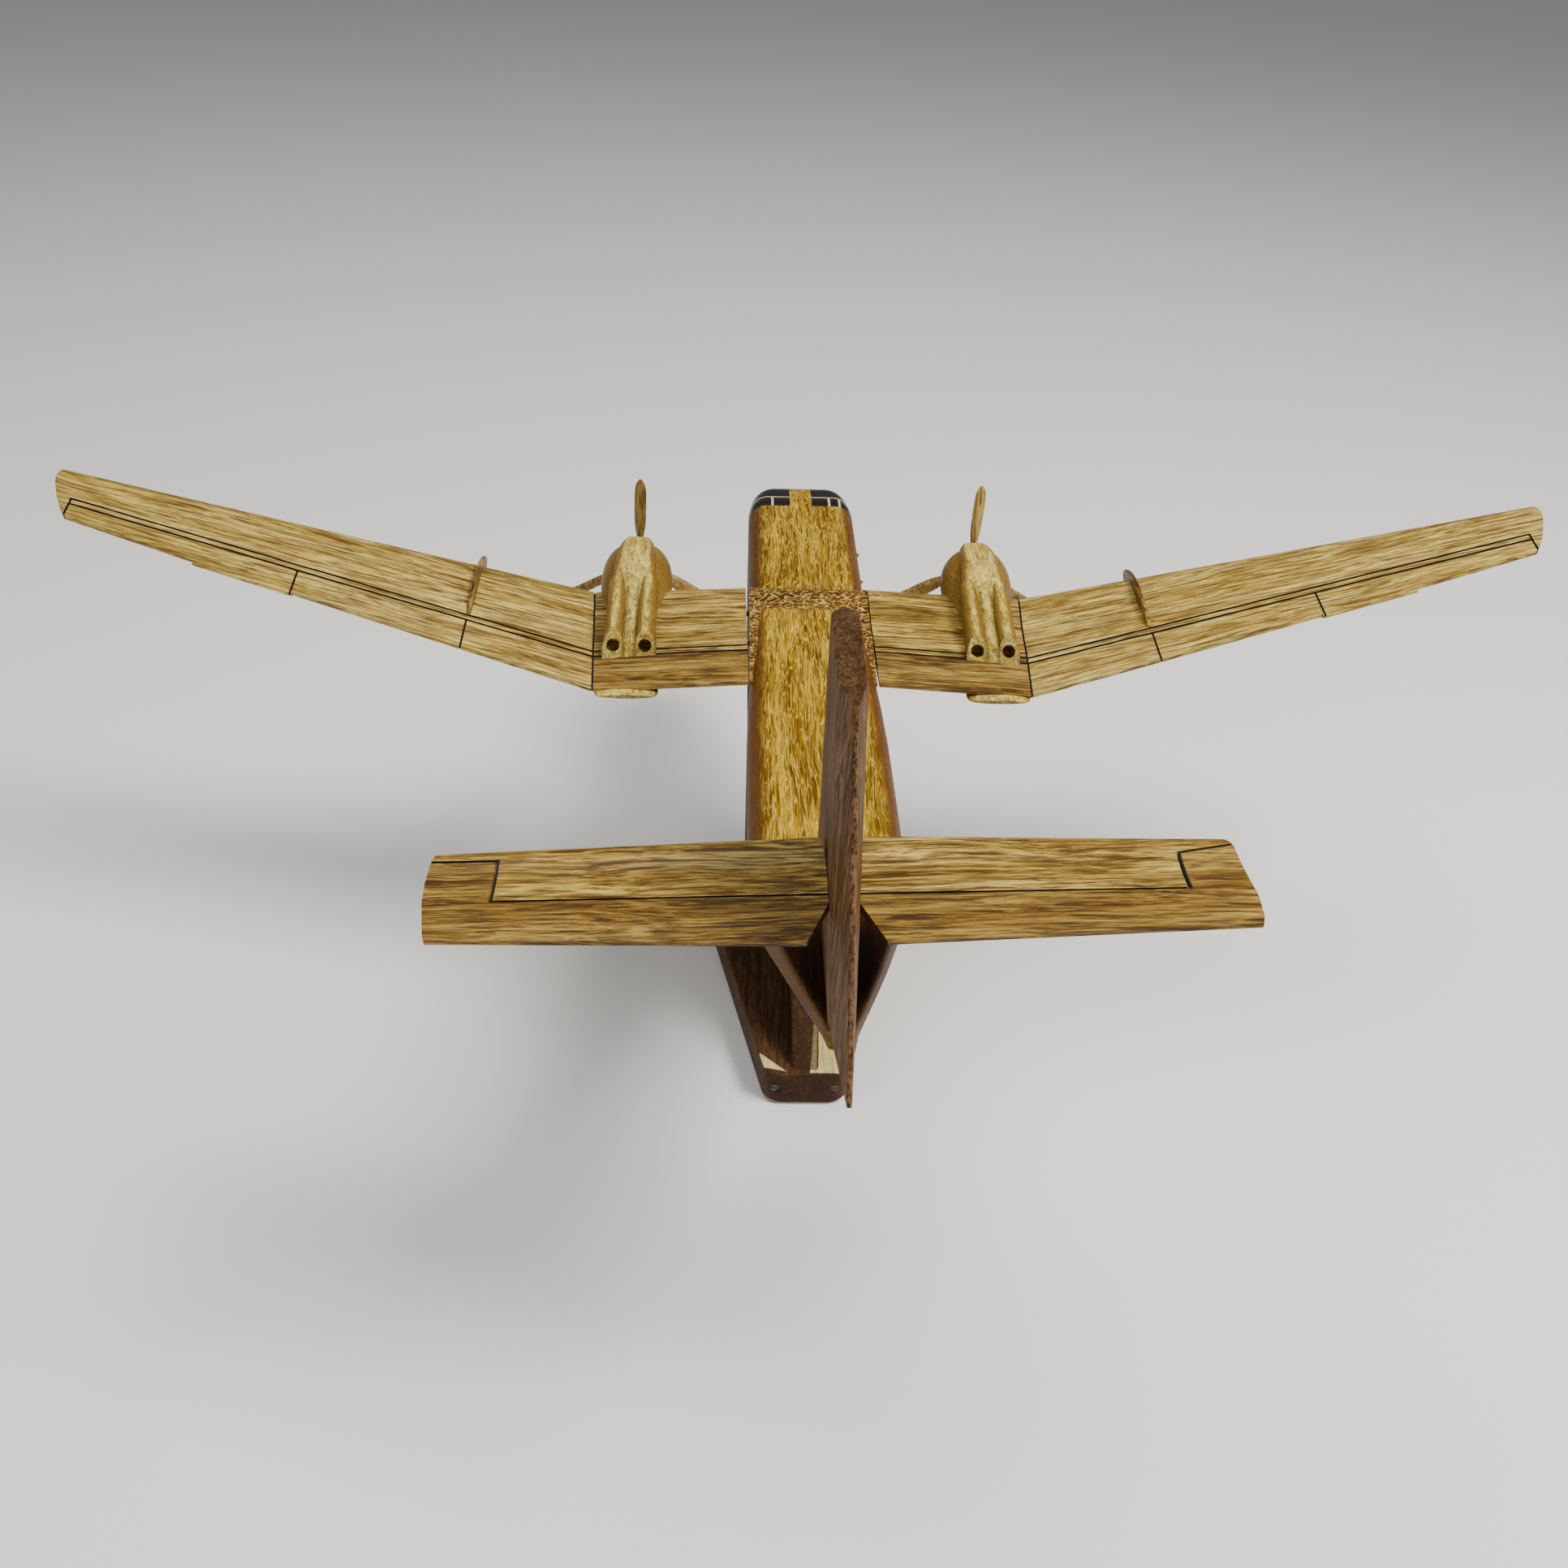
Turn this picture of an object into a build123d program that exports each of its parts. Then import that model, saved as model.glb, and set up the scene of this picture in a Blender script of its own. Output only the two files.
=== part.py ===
from build123d import *
import os
from math import cos, radians, sin

# Lacquered wooden desk model of a twin-engine, high-wing transport aircraft, on its display stand.
# Millimetres. X points to the starboard wing, Y to the nose, Z up.
# The origin is on the underside of the stand, straight below the peg that carries the aircraft.

os.makedirs("parts", exist_ok=True)

# ---------------------------------------------------------------- driving dimensions
DECK_Z = 111.0            # top of the fuselage above the table
BELLY_Z = DECK_Z - 43.0   # flat underside of the fuselage
NOSE_Y = 130.0            # tip of the nose
LEADING_Y = 32.0          # inner wing, leading edge
TRAILING_Y = -18.0        # inner wing, trailing edge
WALL_X = 16.9             # half width of the fuselage at the wing
CRANK_X = 59.5            # where the wing turns up, at Y = 0
CRANK_SLANT = 0.062       # the turn runs outwards towards the leading edge
TIP_X = 204.4             # half span
ENGINE_X = 49.6           # centre plane of a nacelle
GROOVE = 0.4              # width of the scribed panel lines
GROOVE_DEPTH = 0.45       # depth of the scribed panel lines
DECK_DEPTH = 9.0          # thickness of the laminations on top of the hull
COCKPIT_DEPTH = 11.0      # height of the cockpit glazing block
RUNNING_FIT = 0.05        # radial clearance of a pin that turns or slides
TALL = 400.0              # longer than the whole model, for cutting tools


def deck(height):
    """Height above the table of a level given from the fuselage top."""
    return DECK_Z + height


def save(piece, name):
    """Label a finished piece and write its STEP file."""
    piece.label = name
    export_step(piece, f"parts/{name}.step")


def cross_plane(y, z=0.0):
    """Plane across the aircraft at station y: local x is X, local y is Z."""
    return Plane(origin=(0, y, z), x_dir=(1, 0, 0), z_dir=(0, -1, 0))


def side_plane(x, slant=0.0):
    """Plane along the aircraft at X = x: local x is Y, local y is Z; slant turns it outwards ahead."""
    return Plane(origin=(x, 0, 0), x_dir=(slant, 1, 0), z_dir=(1, -slant, 0))


# ---------------------------------------------------------------- fuselage block
# station y, half width, bottom, top (both from the deck level), corner radius
NOSE_STATIONS = [
    (NOSE_Y, 4.2, -33.5, -24.5, 4.0),
    (NOSE_Y - 2.0, 8.2, -37.0, -19.5, 6.5),
    (NOSE_Y - 7.0, 11.8, -40.2, -14.5, 7.5),
    (NOSE_Y - 14.0, 13.8, -42.2, -6.0, 7.5),
    (NOSE_Y - 20.0, 15.2, -42.8, -1.7, 7.0),
    (NOSE_Y - 25.0, 16.0, -43.0, -0.6, 6.5),
    (NOSE_Y - 31.0, 16.6, -43.0, -0.15, 6.2),
    (94.0, WALL_X, -43.0, 0.0, 6.0),
]
MID_STATIONS = [
    (94.0, WALL_X, -43.0, 0.0, 6.0),
    (LEADING_Y, WALL_X, -43.0, 0.0, 6.0),
    (7.0, WALL_X, -43.0, 0.4, 6.0),
    (TRAILING_Y, WALL_X, -43.0, 0.5, 6.0),
    (-31.0, 17.4, -43.0, 0.5, 6.0),
    (-41.0, 17.6, -43.0, 0.5, 6.0),
]
TAIL_STATIONS = [
    (-41.0, 17.6, -43.0, 0.5, 6.0),
    (-49.0, 17.7, -42.2, 0.5, 6.0),
    (-58.0, 17.7, -40.0, 0.5, 6.0),
    (-70.0, 17.7, -35.4, 0.5, 6.0),
    (-85.0, 17.6, -28.2, 0.5, 6.0),
    (-105.0, 16.6, -18.0, 0.5, 5.0),
    (-120.0, 13.6, -11.2, 0.5, 3.4),
    (-135.0, 9.2, -6.9, 0.5, 2.0),
    (-147.0, 5.0, -5.2, 0.5, 1.6),
    (-154.0, 2.7, -4.6, 0.5, 1.2),
]


def fuselage_length(stations, ruled):
    """One length of the fuselage, blended through its rounded cross-sections."""
    sections = []
    for y, half_width, bottom, top, radius in stations:
        with BuildSketch(cross_plane(y, deck((top + bottom) / 2))) as section:
            RectangleRounded(2 * half_width, top - bottom, radius)
        sections.append(section.sketch)
    with BuildPart() as length:
        loft(sections=sections, ruled=ruled)
    return length.part


with BuildPart() as fuselage:
    add(fuselage_length(NOSE_STATIONS, ruled=False))
    add(fuselage_length(MID_STATIONS, ruled=True))
    add(fuselage_length(TAIL_STATIONS, ruled=False))


# ---------------------------------------------------------------- wing sections
def foil(plane, leading, trailing, rise, drop, edge=0.45):
    """Airfoil in a plane between two (Y, Z) points, rise above and drop below the chord."""
    (y0, z0), (y1, z1) = leading, trailing
    crest = 0.24

    def on_chord(part, height):
        return (y0 + part * (y1 - y0), z0 + part * (z1 - z0) + height)

    with BuildSketch(plane) as section:
        with BuildLine():
            Spline(on_chord(0, 0), on_chord(crest, rise), on_chord(0.62, 0.74 * rise),
                   on_chord(1, edge), tangents=[(0, 1), (y1 - y0, z1 - z0 - 1.4 * rise)])
            Line(on_chord(1, edge), on_chord(1, -edge))
            Spline(on_chord(1, -edge), on_chord(0.55, -0.72 * drop), on_chord(crest, -drop),
                   on_chord(0, 0), tangents=[(y0 - y1, -0.8 * drop), (0, 1)])
        make_face()
    return section.sketch


ROOT_LEADING = (LEADING_Y, deck(-2.1))
ROOT_TRAILING = (TRAILING_Y, deck(-3.1))
CRANK_LEADING = (LEADING_Y + 0.1, deck(-4.4))
CRANK_TRAILING = (TRAILING_Y, deck(-6.0))
TIP_LEADING = (29.8, deck(30.0))
TIP_TRAILING = (7.8, deck(27.4))
WING_RISE = 2.5           # airfoil above its chord line at the root
WING_DROP = 2.1           # airfoil below its chord line at the root
TIP_RISE = 1.1
TIP_DROP = 0.9


def wing_solid(start, end, skin):
    """Wing between two stations (plane, leading, trailing, rise, drop), thinned by skin on both faces."""
    sections = []
    for plane, leading, trailing, rise, drop in (start, end):
        edge = 0.45 if skin == 0 else 0.15
        nose = (leading[0] - skin, leading[1])
        sections.append(foil(plane, nose, trailing, rise - skin, drop - skin, edge))
    with BuildPart() as panel:
        loft(sections=sections, ruled=True)
    return panel.part


def tip_station(tip_lift):
    """Wing station just beyond the tip, raised by tip_lift."""
    (y0, z0), (y1, z1) = TIP_LEADING, TIP_TRAILING
    return (side_plane(TIP_X + 1.0), (y0, z0 + tip_lift), (y1, z1 + tip_lift), TIP_RISE, TIP_DROP)


ROOT = (side_plane(0.0), ROOT_LEADING, ROOT_TRAILING, WING_RISE, WING_DROP)
ROOT_OUT = (side_plane(WALL_X - 1.0), ROOT_LEADING, ROOT_TRAILING, WING_RISE, WING_DROP)
CRANK = (side_plane(CRANK_X, CRANK_SLANT), CRANK_LEADING, CRANK_TRAILING, WING_RISE, WING_DROP)
inner_wing = wing_solid(ROOT_OUT, CRANK, 0)
inner_core = wing_solid(ROOT_OUT, CRANK, GROOVE_DEPTH)


def crank_at(y):
    """Plan point on the line where the wing turns up."""
    return (CRANK_X + CRANK_SLANT * y, y)


FLAP_SPLIT_X = 93.3       # cut between the mid and outer flaps
AILERON_X = 138.0
TAB_X = 163.2             # the aileron's inboard half stands back by TAB_STEP
TAB_STEP = 1.4
AILERON_END_X = 198.0
# Plan view of the trailing edge and of the two scribed lines that run along the wing, as (X, Y).
SLOT_FRONT = [(WALL_X - 2, -0.5), crank_at(-1.0), (AILERON_X, 9.2), (AILERON_END_X, 16.9)]
SLOT_REAR = [(WALL_X - 2, -3.0), crank_at(-3.5), (AILERON_X, 6.7), (AILERON_END_X - 0.3, 14.3)]
TIP_CORNER = (197.5, 9.2)
TAB_Y = 0.4
AILERON_Y = -3.2
TRAILING_LINE = [(WALL_X - 2, TRAILING_Y), crank_at(TRAILING_Y), (AILERON_X, AILERON_Y),
                 (AILERON_X, AILERON_Y - TAB_STEP), (TAB_X, TAB_Y), (TAB_X, TAB_Y + TAB_STEP), TIP_CORNER]
TIP_OUTLINE = [TIP_CORNER, (200.2, 13.8), (203.2, 20.8), (TIP_X, 25.6), (203.4, 29.0), (200.0, 30.8),
               (195.0, 31.8)]


def plan_prism(points, curve=()):
    """Upright prism over a plan outline, closed by a straight line or by a curve from end to start."""
    with BuildPart() as prism:
        with BuildSketch():
            with BuildLine():
                Polyline(*points, close=not curve)
                if curve:
                    Spline(*curve)
            make_face()
        extrude(amount=TALL)
    return prism.part


def groove_tool(lines, core):
    """Scribed lines: upright kerfs along plan lines, stopped by the thinner core of the panel."""
    with BuildPart() as tool:
        for points in lines:
            with BuildSketch():
                with BuildLine():
                    Polyline(*points)
                trace(line_width=GROOVE)
            extrude(amount=TALL)
        add(core, mode=Mode.SUBTRACT)
    return tool.part


def cut_piece(solid, outline, tool, curve=()):
    """The part of a panel inside a plan outline, with its scribed lines cut."""
    with BuildPart() as piece:
        add(solid)
        add(plan_prism(outline, curve), mode=Mode.INTERSECT)
        add(tool, mode=Mode.SUBTRACT)
    return piece.part


def on_line(line, x):
    """Point at span x on a plan polyline."""
    for (x0, y0), (x1, y1) in zip(line, line[1:]):
        if x0 <= x <= x1 and x1 > x0:
            return (x, y0 + (y1 - y0) * (x - x0) / (x1 - x0))
    return line[-1]


AHEAD = LEADING_Y + 12.0  # plan line well ahead of the leading edge
BEHIND = TRAILING_Y - 12.0
crank_line = [crank_at(AHEAD), crank_at(BEHIND)]
split_line = [on_line(SLOT_REAR, FLAP_SPLIT_X), (FLAP_SPLIT_X - 0.2, BEHIND)]
aileron_line = [on_line(SLOT_REAR, AILERON_X), (AILERON_X - 0.8, BEHIND)]
aileron_end = [SLOT_FRONT[3], SLOT_REAR[3], TIP_CORNER]
inner_grooves = groove_tool([SLOT_FRONT[:2], SLOT_REAR[:2], crank_line], inner_core)
outer_lines = [SLOT_FRONT[1:], SLOT_REAR[1:], crank_line, split_line, aileron_line, aileron_end]


def root_outline(front_gap, rear_gap, front, rear):
    """Inner-panel plan between Y = front and rear, with its own gap to the fuselage wall."""
    def root_x(y):
        share = (LEADING_Y - y) / (LEADING_Y - TRAILING_Y)
        return WALL_X + front_gap + (rear_gap - front_gap) * share
    (y_a, y_b), (y_c, y_d) = front, rear
    return [(root_x(y_a), y_a), crank_at(y_b), crank_at(y_d), (root_x(y_c), y_c)]


def inner_pieces(front_gap, rear_gap):
    """Inner panel, slot strip and flap of one wing, keyed by name."""
    slot_a = (SLOT_FRONT[0][1], SLOT_FRONT[1][1])
    slot_b = (SLOT_REAR[0][1], SLOT_REAR[1][1])
    rows = {"inner_panel": ((AHEAD, AHEAD), slot_a), "inner_slot_strip": (slot_a, slot_b),
            "inner_flap": (slot_b, (BEHIND, BEHIND))}
    return {name: cut_piece(inner_wing, root_outline(front_gap, rear_gap, *rows[name]), inner_grooves)
            for name in rows}


def flap_outline(x_in, x_out, lean_in, lean_out):
    """Plan of a trailing piece between two spanwise cuts, from the rear slot line backwards."""
    rear = [point for point in TRAILING_LINE if x_in < point[0] < x_out]
    start = on_line(TRAILING_LINE, x_in)
    end = on_line(TRAILING_LINE, x_out)
    outline = [on_line(SLOT_REAR, x_in), (x_in - lean_in, start[1])] + rear
    return outline + [(x_out - lean_out, end[1]), on_line(SLOT_REAR, x_out)]


flap_start = SLOT_REAR[1][0]
outer_outlines = {
    "outer_panel": [TIP_OUTLINE[-1], (TIP_OUTLINE[-1][0], AHEAD), crank_at(AHEAD)] + SLOT_FRONT[1:]
    + [SLOT_REAR[3], TIP_CORNER],
    "outer_slot_strip": SLOT_FRONT[1:] + SLOT_REAR[:0:-1],
    "mid_flap": flap_outline(flap_start, FLAP_SPLIT_X, flap_start - crank_at(TRAILING_Y)[0], 0.2),
    "outer_flap": flap_outline(FLAP_SPLIT_X, AILERON_X, 0.2, 0.8),
    "aileron": [on_line(SLOT_REAR, AILERON_X), (AILERON_X - 0.8, AILERON_Y - TAB_STEP), (TAB_X, TAB_Y),
                (TAB_X, TAB_Y + TAB_STEP), TIP_CORNER, SLOT_REAR[3]],
}


def outer_pieces(outer_wing, outer_core):
    """Every piece of one outer wing, keyed by name."""
    grooves = groove_tool(outer_lines, outer_core)
    pieces = {}
    for name, outline in outer_outlines.items():
        curve = TIP_OUTLINE if name == "outer_panel" else ()
        pieces[name] = cut_piece(outer_wing, outline, grooves, curve)
    return pieces


# ---------------------------------------------------------------- wing centre block and laminations
CROWN_REAR_Y = 18.5       # the block stands flush with the deck from here forwards
DECK_BUTT_Y = LEADING_Y - 0.9

with BuildPart() as saddle_top_zone:
    with Locations((0, (CROWN_REAR_Y + DECK_BUTT_Y) / 2, deck(-3.1) + TALL / 2)):
        Box(TALL, DECK_BUTT_Y - CROWN_REAR_Y, TALL)

with BuildPart() as saddle_crown:
    add(fuselage.part)
    add(saddle_top_zone.part, mode=Mode.INTERSECT)

with BuildPart() as saddle_block:
    extrude(foil(*ROOT), amount=WALL_X, both=True)
    add(saddle_crown.part)

with BuildPart() as aft_deck_zone:
    with Locations((0, TRAILING_Y - TALL / 2, deck(-DECK_DEPTH) + TALL / 2)):
        Box(TALL, TALL, TALL)
    with Locations((0, 0, deck(-3.1) + TALL / 2)):
        Box(TALL, 2 * CROWN_REAR_Y, TALL)

with BuildPart() as front_deck_zone:
    with Locations((0, (DECK_BUTT_Y + 92.0) / 2, deck(-DECK_DEPTH) + TALL / 2)):
        Box(TALL, 92.0 - DECK_BUTT_Y, TALL)

with BuildPart() as cockpit_zone:
    with Locations((0, 92.0 + TALL / 2, deck(-COCKPIT_DEPTH) + TALL / 2)):
        Box(TALL, TALL, TALL)

# Dowels that hold each wing: steel pins glued in the wing, sliding in the centre block.
DOWEL_R = 0.8
DOWEL_IN = 8.0
DOWEL_OUT = 10.0
DOWEL_SPOTS = [(20.5, deck(-2.3)), (4.0, deck(-2.6))]


def dowel_rods(inner_x, outer_x, radius):
    """A pair of wing dowels on the starboard side, between two X values."""
    with BuildPart() as rods:
        for y, z in DOWEL_SPOTS:
            with BuildSketch(Plane(origin=(inner_x, y, z), z_dir=(1, 0, 0))):
                Circle(radius)
            extrude(amount=outer_x - inner_x)
    return rods.part


dowels = dowel_rods(WALL_X - DOWEL_IN, WALL_X + DOWEL_OUT, DOWEL_R)
dowel_bores = dowel_rods(WALL_X - DOWEL_IN - 0.6, WALL_X + 1.0, DOWEL_R + RUNNING_FIT)

# Fin, rudder and the pin holes of the tail.
FIN_HALF = 2.65
FIN_OUTLINE = [(-97.0, deck(-3.0)), (-115.0, deck(69.0)), (-141.2, deck(69.0)), (-152.6, deck(0.9)),
               (-153.0, deck(-3.0))]
RUDDER_OUTLINE = [(-141.2, deck(69.0)), (-150.0, deck(68.6)), (-176.0, deck(2.6)), (-152.6, deck(0.9))]
TAILPLANE_Z = deck(22.8)
TAIL_PIN_SPOTS = [(-131.5, TAILPLANE_Z), (-138.0, TAILPLANE_Z)]
TAIL_PIN_R = 0.6
TAIL_PIN_REACH = 9.0
FIN_LEAN = -0.8           # degrees, the fin leans slightly to port
TAIL_ROLL = -1.4          # degrees, the tailplane sits a little further round than the fin


def leaned(piece):
    """A fin piece turned to the lean of the fin."""
    return piece.rotate(Axis((0, 0, DECK_Z), (0, 1, 0)), FIN_LEAN)


def rolled(piece):
    """A tailplane piece turned to the attitude of the tailplane."""
    return leaned(piece.rotate(Axis((0, 0, TAILPLANE_Z), (0, 1, 0)), TAIL_ROLL))


with BuildPart() as tail_pins:
    for pin_y, pin_z in TAIL_PIN_SPOTS:
        with BuildSketch(side_plane(0)):
            with Locations((pin_y, pin_z)):
                Circle(TAIL_PIN_R)
        extrude(amount=TAIL_PIN_REACH, both=True)

with BuildPart() as fin_blank:
    with BuildSketch(side_plane(0)):
        with BuildLine():
            Polyline(*FIN_OUTLINE, close=True)
        make_face()
    extrude(amount=FIN_HALF, both=True)
    long_edges = fin_blank.edges().filter_by(lambda e: e.length > 60 and e.center().Y > -120)
    fillet(long_edges, FIN_HALF - 0.05)
    fillet(fin_blank.edges().group_by(Axis.Z)[-1], 0.5)

with BuildPart() as fin:
    add(leaned(fin_blank.part))
    add(rolled(tail_pins.part), mode=Mode.SUBTRACT)


def rudder_slice(height):
    """Wedge section of the rudder at one height: full thickness at the hinge, thin at the rear."""
    share = (height - deck(0.9)) / 68.1
    hinge_y = -152.6 + share * 11.4
    rear_y = -176.7 + share * 26.8
    with BuildSketch(Plane.XY.offset(height)) as section:
        with BuildLine():
            Polyline((-FIN_HALF, hinge_y), (FIN_HALF, hinge_y), (0.45, rear_y), (-0.45, rear_y), close=True)
        make_face()
    return section.sketch


with BuildPart() as rudder:
    loft(sections=[rudder_slice(deck(0.9) - 1.0), rudder_slice(deck(70.0))], ruled=True)
    with BuildSketch(side_plane(0)):
        with BuildLine():
            Polyline(*RUDDER_OUTLINE, close=True)
        make_face()
    extrude(amount=10, both=True, mode=Mode.INTERSECT)
    rear_edges = rudder.edges().filter_by(lambda e: e.length > 60 and e.center().Y < -160)
    chamfer(rear_edges, 0.2)

# ---------------------------------------------------------------- cockpit glazing
STRIP_HALF = 3.5          # half width of the wooden strip between the panes
FRAME_Y = 99.5            # crosswise frame between the two rows of panes
FRAME_WIDTH = 0.7
POST_X = [-9.2, 9.2, 12.6]  # posts of the rear row of panes

with BuildPart() as cockpit_block:
    add(fuselage.part)
    add(cockpit_zone.part, mode=Mode.INTERSECT)

with BuildPart() as strip_tool:
    with Locations((0, 0, deck(0))):
        Box(2 * STRIP_HALF, TALL, TALL)

with BuildPart() as frame_tool:
    with Locations((0, FRAME_Y, deck(-COCKPIT_DEPTH) + TALL / 2)):
        Box(TALL, FRAME_WIDTH, TALL)
    for post_x in POST_X:
        with Locations((post_x, 92.0 + (FRAME_Y - 92.0) / 2, deck(-COCKPIT_DEPTH) + TALL / 2)):
            Box(FRAME_WIDTH, FRAME_Y - 92.0, TALL)
    add(strip_tool.part, mode=Mode.SUBTRACT)

with BuildPart() as centre_strip:
    add(cockpit_block.part)
    add(strip_tool.part, mode=Mode.INTERSECT)

with BuildPart() as window_frames:
    add(cockpit_block.part)
    add(frame_tool.part, mode=Mode.INTERSECT)

with BuildPart() as cockpit_panes:
    add(cockpit_block.part)
    add(frame_tool.part, mode=Mode.SUBTRACT)
    add(strip_tool.part, mode=Mode.SUBTRACT)

# ---------------------------------------------------------------- display stand
FELT = 1.5
BASE_THICK = 10.0
BASE_TOP = FELT + BASE_THICK
BASE_REAR_Y = -64.4
BASE_FRONT_Y = 38.0
BASE_REAR_HALF = 11.0
BASE_FRONT_HALF = 33.5
ARM_HALF = 3.6
TENON_HALF = 2.5
PEG_R = 2.0
PEG_RISE = 9.0
PEG_ROOT = 12.0
SOCKET_R = 3.0
ARM_OUTLINE = [(BASE_REAR_Y + 2.0, BASE_TOP), (-20.0, BELLY_Z), (11.0, BELLY_Z), (-20.0, BASE_TOP)]


def shield_outline(inset):
    """Plan of the base: a shield that narrows to the rear, moved in by inset."""
    return [(-BASE_REAR_HALF + inset, BASE_REAR_Y + inset), (BASE_REAR_HALF - inset, BASE_REAR_Y + inset),
            (BASE_FRONT_HALF - inset, BASE_FRONT_Y - inset), (-BASE_FRONT_HALF + inset, BASE_FRONT_Y - inset)]


def shield(bottom, height, inset, rear_radius, front_radius):
    """A shield-shaped slab with rounded corners."""
    with BuildPart() as slab:
        with BuildSketch(Plane.XY.offset(bottom)) as plan:
            with BuildLine():
                Polyline(*shield_outline(inset), close=True)
            make_face()
            fillet(plan.vertices().group_by(Axis.Y)[0], rear_radius)
            fillet(plan.vertices().filter_by(lambda v: v.Y > 0), front_radius)
        extrude(amount=height)
    return slab.part


with BuildPart() as peg:
    with Locations((0, 0, BELLY_Z - PEG_ROOT)):
        Cylinder(PEG_R, PEG_ROOT + PEG_RISE, align=(Align.CENTER, Align.CENTER, Align.MIN))
    chamfer(peg.edges().group_by(Axis.Z)[-1], 0.6)

with BuildPart() as peg_socket:
    with Locations((0, 0, BELLY_Z)):
        Cylinder(SOCKET_R, PEG_RISE + 1.0, align=(Align.CENTER, Align.CENTER, Align.MIN))
        Cylinder(PEG_R + RUNNING_FIT, PEG_RISE + 1.0, align=(Align.CENTER, Align.CENTER, Align.MIN),
                 mode=Mode.SUBTRACT)

with BuildPart() as felt_pad:
    add(shield(0, FELT, 1.2, 4.5, 8.0))

# Two countersunk screws in the end of the base pinch the tenon of the arm.
SCREW_X = 8.1
SCREW_Z = 6.0
SCREW_HEAD_R = 1.35
SCREW_SHANK_R = 0.6

with BuildPart() as base_screws:
    for screw_x in (-SCREW_X, SCREW_X):
        with BuildSketch(cross_plane(BASE_REAR_Y + 0.5, SCREW_Z)):
            with Locations((screw_x, 0)):
                Circle(SCREW_HEAD_R)
        extrude(amount=-1.0)
        with BuildSketch(cross_plane(BASE_REAR_Y + 0.5, SCREW_Z)):
            with Locations((screw_x, 0)):
                Circle(SCREW_SHANK_R)
        extrude(amount=-9.0)
        with Locations((screw_x, BASE_REAR_Y + 0.5, SCREW_Z)):
            Box(2 * SCREW_HEAD_R, 0.8, 0.4, mode=Mode.SUBTRACT)

with BuildPart() as screw_mouths:
    for screw_x in (-SCREW_X, SCREW_X):
        with BuildSketch(cross_plane(BASE_REAR_Y + 0.5, SCREW_Z)):
            with Locations((screw_x, 0)):
                Circle(SCREW_HEAD_R)
        extrude(amount=4.0)

with BuildPart() as stand_arm:
    with BuildSketch(side_plane(0)) as arm_side:
        with BuildLine():
            Line(ARM_OUTLINE[0], ARM_OUTLINE[1])
            Line(ARM_OUTLINE[1], ARM_OUTLINE[2])
            Spline(ARM_OUTLINE[2], (-3.0, 40.0), ARM_OUTLINE[3], tangents=[(-0.1, -1), (-1, -0.55)])
            Line(ARM_OUTLINE[3], ARM_OUTLINE[0])
        make_face()
    extrude(amount=ARM_HALF, both=True)
    fillet(stand_arm.edges().filter_by(lambda e: e.length > 40), 0.7)
    with Locations((0, (ARM_OUTLINE[0][0] + ARM_OUTLINE[3][0]) / 2 - 1.0, BASE_TOP - 4.0)):
        Box(2 * TENON_HALF, ARM_OUTLINE[3][0] - ARM_OUTLINE[0][0] - 2.0, 8.0)
    add(peg.part, mode=Mode.SUBTRACT)

with BuildPart() as stand_base:
    add(shield(FELT, BASE_THICK, 0.0, 5.5, 9.0))
    fillet(stand_base.faces().sort_by(Axis.Z)[-1].edges(), 0.8)
    add(stand_arm.part, mode=Mode.SUBTRACT)
    add(base_screws.part, mode=Mode.SUBTRACT)
    add(screw_mouths.part, mode=Mode.SUBTRACT)

# ---------------------------------------------------------------- nacelles
# station y, centre z from the deck level, half width, half height
NACELLE_STATIONS = [
    (45.5, -0.3, 7.6, 7.6),
    (43.5, -0.3, 9.2, 9.0),
    (39.0, -0.4, 10.1, 9.7),
    (33.0, -1.2, 10.2, 9.6),
    (24.0, -4.4, 9.0, 8.0),
    (14.0, -6.6, 8.6, 6.0),
    (2.0, -7.2, 8.6, 4.4),
    (-8.0, -7.4, 8.5, 3.2),
    (-15.0, -7.2, 8.4, 2.2),
    (-18.6, -6.8, 8.1, 1.2),
    (-19.8, -6.7, 7.0, 0.5),
]
# station y, half width, bottom, top (both from the deck level), corner radius
FAIRING_STATIONS = [
    (45.5, 3.9, 2.0, 9.3, 1.8),
    (41.0, 5.1, 2.0, 9.8, 2.2),
    (34.0, 5.6, 2.0, 9.9, 2.4),
    (26.0, 6.2, 0.0, 8.0, 2.4),
    (18.0, 6.6, -2.0, 4.9, 2.2),
    (6.0, 6.8, -5.0, 1.3, 1.6),
    (-6.0, 6.9, -8.0, -1.6, 1.2),
]
TUBE_OFFSET = 4.3
TUBE_R = 2.6
TUBE_START = (24.0, deck(5.0))
TUBE_END = (-6.0, deck(-1.8))
TUBE_CUT_ANGLE = 50.0     # slope of the exhaust mouths
MOUTH_R = 1.8
MOUTH_DEPTH = 3.6
MOUTH_CENTRE = (-2.2, deck(-0.9))
PROP_Y = 49.0
PROP_Z = deck(-0.3)
PROP_R = 26.0
HUB_R = 3.3
SHAFT_R = 0.8
WASHER_R = 2.2
COWL_FACE_Y = 45.5

with BuildPart() as nacelle_blank:
    nacelle_sections = []
    for y, z, half_width, half_height in NACELLE_STATIONS:
        with BuildSketch(cross_plane(y, deck(z))) as ring:
            with Locations((ENGINE_X, 0)):
                Ellipse(half_width, half_height)
        nacelle_sections.append(ring.sketch)
    loft(sections=nacelle_sections)

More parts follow.
